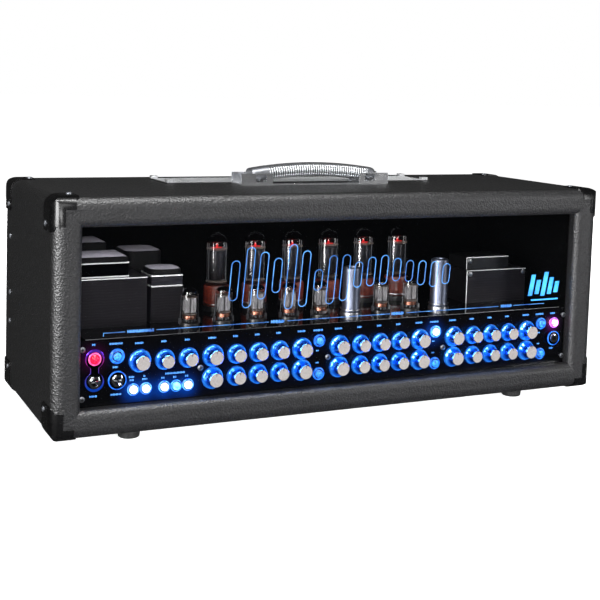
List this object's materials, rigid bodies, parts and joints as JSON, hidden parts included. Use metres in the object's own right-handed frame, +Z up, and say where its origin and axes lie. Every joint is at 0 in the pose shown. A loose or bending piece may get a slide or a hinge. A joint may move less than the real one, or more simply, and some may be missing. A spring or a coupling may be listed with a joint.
{
  "type": "guitar amplifier head",
  "caption": "Valve guitar amplifier head: black vinyl box with a clear front over glowing valves, rows of chrome knobs on a blue-lit panel, metal corners and a bowed carry handle.",
  "frame": {"origin": "on the floor plane under the centre of the cabinet", "axes": "+X to the right seen from the front, +Y to the back, +Z up"},
  "size_m": [0.7964, 0.2832, 0.3325],
  "materials": {
    "cabinet": "plywood box covered in black grained vinyl",
    "corner_protectors": "glossy black moulded corners",
    "screws": "bright domed screws",
    "rubber_feet": "matt",
    "front_window": "smoked clear acrylic",
    "chassis": "black folded sheet steel",
    "panel_hardware": "bright nuts, bushings and bezels",
    "transformers": "dark laminated steel cores and covers",
    "valves": "clear glass valves on brown and black bases",
    "handle_brackets": "polished",
    "vent_grilles": "satin",
    "handle_grip": "close-wound steel coil",
    "knob_metal": "polished skirt with a satin white cap",
    "button_blue": "blue glow",
    "button_lit": "lit white",
    "button_pink": "lit pink",
    "toggle_chrome": "polished"
  },
  "bodies": {
    "amp": {"cabinet": "cabinet", "corner_protectors": "corner_protectors", "screws": "screws", "rubber_feet": "rubber_feet", "front_window": "front_window", "chassis": "chassis", "panel_hardware": "panel_hardware", "transformers": "transformers", "valves": "valves", "handle_brackets": "handle_brackets", "vent_grilles": "vent_grilles"},
    "handle_grip": {"handle_grip": "handle_grip"},
    "toggle_power": {"toggle_power": "toggle_chrome"},
    "toggle_standby": {"toggle_standby": "toggle_chrome"},
    "button_midi_learn": {"button_midi_learn": "button_blue"},
    "button_noise_gate": {"button_noise_gate": "button_lit"},
    "button_fx_loop": {"button_fx_loop": "button_lit"},
    "button_tubes_12": {"button_tubes_12": "button_lit"},
    "button_tubes_34": {"button_tubes_34": "button_blue"},
    "button_tubes_56": {"button_tubes_56": "button_lit"},
    "button_boost": {"button_boost": "button_pink"},
    "button_amp1_a": {"button_amp1_a": "button_blue"},
    "button_amp1_b": {"button_amp1_b": "button_blue"},
    "button_amp2_a": {"button_amp2_a": "button_lit"},
    "button_amp2_b": {"button_amp2_b": "button_blue"},
    "button_amp3_a": {"button_amp3_a": "button_blue"},
    "button_amp3_b": {"button_amp3_b": "button_blue"},
    "knob_volume": {"knob_volume": "knob_metal"},
    "knob_presence": {"knob_presence": "knob_metal"},
    "knob_resonance": {"knob_resonance": "knob_metal"},
    "knob_amp1_a_master": {"knob_amp1_a_master": "knob_metal"},
    "knob_amp1_a_treble": {"knob_amp1_a_treble": "knob_metal"},
    "knob_amp1_a_mid": {"knob_amp1_a_mid": "knob_metal"},
    "knob_amp1_a_bass": {"knob_amp1_a_bass": "knob_metal"},
    "knob_amp1_a_gain": {"knob_amp1_a_gain": "knob_metal"},
    "knob_amp1_b_master": {"knob_amp1_b_master": "knob_metal"},
    "knob_amp1_b_treble": {"knob_amp1_b_treble": "knob_metal"},
    "knob_amp1_b_mid": {"knob_amp1_b_mid": "knob_metal"},
    "knob_amp1_b_bass": {"knob_amp1_b_bass": "knob_metal"},
    "knob_amp1_b_gain": {"knob_amp1_b_gain": "knob_metal"},
    "knob_amp2_a_master": {"knob_amp2_a_master": "knob_metal"},
    "knob_amp2_a_treble": {"knob_amp2_a_treble": "knob_metal"},
    "knob_amp2_a_mid": {"knob_amp2_a_mid": "knob_metal"},
    "knob_amp2_a_bass": {"knob_amp2_a_bass": "knob_metal"},
    "knob_amp2_a_gain": {"knob_amp2_a_gain": "knob_metal"},
    "knob_amp2_b_master": {"knob_amp2_b_master": "knob_metal"},
    "knob_amp2_b_treble": {"knob_amp2_b_treble": "knob_metal"},
    "knob_amp2_b_mid": {"knob_amp2_b_mid": "knob_metal"},
    "knob_amp2_b_bass": {"knob_amp2_b_bass": "knob_metal"},
    "knob_amp2_b_gain": {"knob_amp2_b_gain": "knob_metal"},
    "knob_amp3_a_master": {"knob_amp3_a_master": "knob_metal"},
    "knob_amp3_a_treble": {"knob_amp3_a_treble": "knob_metal"},
    "knob_amp3_a_mid": {"knob_amp3_a_mid": "knob_metal"},
    "knob_amp3_a_bass": {"knob_amp3_a_bass": "knob_metal"},
    "knob_amp3_a_gain": {"knob_amp3_a_gain": "knob_metal"},
    "knob_amp3_b_master": {"knob_amp3_b_master": "knob_metal"},
    "knob_amp3_b_treble": {"knob_amp3_b_treble": "knob_metal"},
    "knob_amp3_b_mid": {"knob_amp3_b_mid": "knob_metal"},
    "knob_amp3_b_bass": {"knob_amp3_b_bass": "knob_metal"},
    "knob_amp3_b_gain": {"knob_amp3_b_gain": "knob_metal"}
  },
  "joints": [
    {"name": "handle_lift", "type": "slide", "parent": "amp", "child": "handle_grip", "axis": [0, 0, 1], "range_m": [0, 0.005]},
    {"name": "flip_power", "type": "hinge", "parent": "amp", "child": "toggle_power", "pos_m": [-0.3398, -0.1255, 0.0786], "axis": [1, 0, 0], "range_deg": [0, 26]},
    {"name": "flip_standby", "type": "hinge", "parent": "amp", "child": "toggle_standby", "pos_m": [-0.3116, -0.1255, 0.0786], "axis": [1, 0, 0], "range_deg": [-26, 0]},
    {"name": "press_midi_learn", "type": "slide", "parent": "amp", "child": "button_midi_learn", "axis": [0, 1, 0], "range_m": [0, 0.002], "stiffness_N_per_m": 300, "springref_m": -0.002},
    {"name": "press_noise_gate", "type": "slide", "parent": "amp", "child": "button_noise_gate", "axis": [0, 1, 0], "range_m": [0, 0.002], "stiffness_N_per_m": 300, "springref_m": -0.002},
    {"name": "press_fx_loop", "type": "slide", "parent": "amp", "child": "button_fx_loop", "axis": [0, 1, 0], "range_m": [0, 0.002], "stiffness_N_per_m": 300, "springref_m": -0.002},
    {"name": "press_tubes_12", "type": "slide", "parent": "amp", "child": "button_tubes_12", "axis": [0, 1, 0], "range_m": [0, 0.002], "stiffness_N_per_m": 300, "springref_m": -0.002},
    {"name": "press_tubes_34", "type": "slide", "parent": "amp", "child": "button_tubes_34", "axis": [0, 1, 0], "range_m": [0, 0.002], "stiffness_N_per_m": 300, "springref_m": -0.002},
    {"name": "press_tubes_56", "type": "slide", "parent": "amp", "child": "button_tubes_56", "axis": [0, 1, 0], "range_m": [0, 0.002], "stiffness_N_per_m": 300, "springref_m": -0.002},
    {"name": "press_boost", "type": "slide", "parent": "amp", "child": "button_boost", "axis": [0, 1, 0], "range_m": [0, 0.002], "stiffness_N_per_m": 300, "springref_m": -0.002},
    {"name": "press_amp1_a", "type": "slide", "parent": "amp", "child": "button_amp1_a", "axis": [0, 1, 0], "range_m": [0, 0.002], "stiffness_N_per_m": 300, "springref_m": -0.002},
    {"name": "press_amp1_b", "type": "slide", "parent": "amp", "child": "button_amp1_b", "axis": [0, 1, 0], "range_m": [0, 0.002], "stiffness_N_per_m": 300, "springref_m": -0.002},
    {"name": "press_amp2_a", "type": "slide", "parent": "amp", "child": "button_amp2_a", "axis": [0, 1, 0], "range_m": [0, 0.002], "stiffness_N_per_m": 300, "springref_m": -0.002},
    {"name": "press_amp2_b", "type": "slide", "parent": "amp", "child": "button_amp2_b", "axis": [0, 1, 0], "range_m": [0, 0.002], "stiffness_N_per_m": 300, "springref_m": -0.002},
    {"name": "press_amp3_a", "type": "slide", "parent": "amp", "child": "button_amp3_a", "axis": [0, 1, 0], "range_m": [0, 0.002], "stiffness_N_per_m": 300, "springref_m": -0.002},
    {"name": "press_amp3_b", "type": "slide", "parent": "amp", "child": "button_amp3_b", "axis": [0, 1, 0], "range_m": [0, 0.002], "stiffness_N_per_m": 300, "springref_m": -0.002},
    {"name": "turn_volume", "type": "hinge", "parent": "amp", "child": "knob_volume", "pos_m": [-0.2835, -0.124, 0.1003], "axis": [0, 1, 0], "range_deg": [-150, 150]},
    {"name": "turn_presence", "type": "hinge", "parent": "amp", "child": "knob_presence", "pos_m": [-0.2515, -0.124, 0.0995], "axis": [0, 1, 0], "range_deg": [-150, 150]},
    {"name": "turn_resonance", "type": "hinge", "parent": "amp", "child": "knob_resonance", "pos_m": [-0.221, -0.124, 0.0995], "axis": [0, 1, 0], "range_deg": [-150, 150]},
    {"name": "turn_amp1_a_master", "type": "hinge", "parent": "amp", "child": "knob_amp1_a_master", "pos_m": [-0.1886, -0.124, 0.0995], "axis": [0, 1, 0], "range_deg": [-150, 150]},
    {"name": "turn_amp1_a_treble", "type": "hinge", "parent": "amp", "child": "knob_amp1_a_treble", "pos_m": [-0.1566, -0.124, 0.0995], "axis": [0, 1, 0], "range_deg": [-150, 150]},
    {"name": "turn_amp1_a_mid", "type": "hinge", "parent": "amp", "child": "knob_amp1_a_mid", "pos_m": [-0.1268, -0.124, 0.0995], "axis": [0, 1, 0], "range_deg": [-150, 150]},
    {"name": "turn_amp1_a_bass", "type": "hinge", "parent": "amp", "child": "knob_amp1_a_bass", "pos_m": [-0.097, -0.124, 0.0995], "axis": [0, 1, 0], "range_deg": [-150, 150]},
    {"name": "turn_amp1_a_gain", "type": "hinge", "parent": "amp", "child": "knob_amp1_a_gain", "pos_m": [-0.065, -0.124, 0.0995], "axis": [0, 1, 0], "range_deg": [-150, 150]},
    {"name": "turn_amp1_b_master", "type": "hinge", "parent": "amp", "child": "knob_amp1_b_master", "pos_m": [-0.1886, -0.124, 0.0713], "axis": [0, 1, 0], "range_deg": [-150, 150]},
    {"name": "turn_amp1_b_treble", "type": "hinge", "parent": "amp", "child": "knob_amp1_b_treble", "pos_m": [-0.1566, -0.124, 0.0713], "axis": [0, 1, 0], "range_deg": [-150, 150]},
    {"name": "turn_amp1_b_mid", "type": "hinge", "parent": "amp", "child": "knob_amp1_b_mid", "pos_m": [-0.1268, -0.124, 0.0713], "axis": [0, 1, 0], "range_deg": [-150, 150]},
    {"name": "turn_amp1_b_bass", "type": "hinge", "parent": "amp", "child": "knob_amp1_b_bass", "pos_m": [-0.097, -0.124, 0.0713], "axis": [0, 1, 0], "range_deg": [-150, 150]},
    {"name": "turn_amp1_b_gain", "type": "hinge", "parent": "amp", "child": "knob_amp1_b_gain", "pos_m": [-0.065, -0.124, 0.0713], "axis": [0, 1, 0], "range_deg": [-150, 150]},
    {"name": "turn_amp2_a_master", "type": "hinge", "parent": "amp", "child": "knob_amp2_a_master", "pos_m": [-0.0109, -0.124, 0.0995], "axis": [0, 1, 0], "range_deg": [-150, 150]},
    {"name": "turn_amp2_a_treble", "type": "hinge", "parent": "amp", "child": "knob_amp2_a_treble", "pos_m": [0.0211, -0.124, 0.0995], "axis": [0, 1, 0], "range_deg": [-150, 150]},
    {"name": "turn_amp2_a_mid", "type": "hinge", "parent": "amp", "child": "knob_amp2_a_mid", "pos_m": [0.0509, -0.124, 0.0995], "axis": [0, 1, 0], "range_deg": [-150, 150]},
    {"name": "turn_amp2_a_bass", "type": "hinge", "parent": "amp", "child": "knob_amp2_a_bass", "pos_m": [0.0807, -0.124, 0.0995], "axis": [0, 1, 0], "range_deg": [-150, 150]},
    {"name": "turn_amp2_a_gain", "type": "hinge", "parent": "amp", "child": "knob_amp2_a_gain", "pos_m": [0.1127, -0.124, 0.0995], "axis": [0, 1, 0], "range_deg": [-150, 150]},
    {"name": "turn_amp2_b_master", "type": "hinge", "parent": "amp", "child": "knob_amp2_b_master", "pos_m": [-0.0109, -0.124, 0.0713], "axis": [0, 1, 0], "range_deg": [-150, 150]},
    {"name": "turn_amp2_b_treble", "type": "hinge", "parent": "amp", "child": "knob_amp2_b_treble", "pos_m": [0.0211, -0.124, 0.0713], "axis": [0, 1, 0], "range_deg": [-150, 150]},
    {"name": "turn_amp2_b_mid", "type": "hinge", "parent": "amp", "child": "knob_amp2_b_mid", "pos_m": [0.0509, -0.124, 0.0713], "axis": [0, 1, 0], "range_deg": [-150, 150]},
    {"name": "turn_amp2_b_bass", "type": "hinge", "parent": "amp", "child": "knob_amp2_b_bass", "pos_m": [0.0807, -0.124, 0.0713], "axis": [0, 1, 0], "range_deg": [-150, 150]},
    {"name": "turn_amp2_b_gain", "type": "hinge", "parent": "amp", "child": "knob_amp2_b_gain", "pos_m": [0.1127, -0.124, 0.0713], "axis": [0, 1, 0], "range_deg": [-150, 150]},
    {"name": "turn_amp3_a_master", "type": "hinge", "parent": "amp", "child": "knob_amp3_a_master", "pos_m": [0.1668, -0.124, 0.0995], "axis": [0, 1, 0], "range_deg": [-150, 150]},
    {"name": "turn_amp3_a_treble", "type": "hinge", "parent": "amp", "child": "knob_amp3_a_treble", "pos_m": [0.1988, -0.124, 0.0995], "axis": [0, 1, 0], "range_deg": [-150, 150]},
    {"name": "turn_amp3_a_mid", "type": "hinge", "parent": "amp", "child": "knob_amp3_a_mid", "pos_m": [0.2286, -0.124, 0.0995], "axis": [0, 1, 0], "range_deg": [-150, 150]},
    {"name": "turn_amp3_a_bass", "type": "hinge", "parent": "amp", "child": "knob_amp3_a_bass", "pos_m": [0.2584, -0.124, 0.0995], "axis": [0, 1, 0], "range_deg": [-150, 150]},
    {"name": "turn_amp3_a_gain", "type": "hinge", "parent": "amp", "child": "knob_amp3_a_gain", "pos_m": [0.2904, -0.124, 0.0995], "axis": [0, 1, 0], "range_deg": [-150, 150]},
    {"name": "turn_amp3_b_master", "type": "hinge", "parent": "amp", "child": "knob_amp3_b_master", "pos_m": [0.1668, -0.124, 0.0713], "axis": [0, 1, 0], "range_deg": [-150, 150]},
    {"name": "turn_amp3_b_treble", "type": "hinge", "parent": "amp", "child": "knob_amp3_b_treble", "pos_m": [0.1988, -0.124, 0.0713], "axis": [0, 1, 0], "range_deg": [-150, 150]},
    {"name": "turn_amp3_b_mid", "type": "hinge", "parent": "amp", "child": "knob_amp3_b_mid", "pos_m": [0.2286, -0.124, 0.0713], "axis": [0, 1, 0], "range_deg": [-150, 150]},
    {"name": "turn_amp3_b_bass", "type": "hinge", "parent": "amp", "child": "knob_amp3_b_bass", "pos_m": [0.2584, -0.124, 0.0713], "axis": [0, 1, 0], "range_deg": [-150, 150]},
    {"name": "turn_amp3_b_gain", "type": "hinge", "parent": "amp", "child": "knob_amp3_b_gain", "pos_m": [0.2904, -0.124, 0.0713], "axis": [0, 1, 0], "range_deg": [-150, 150]}
  ]
}
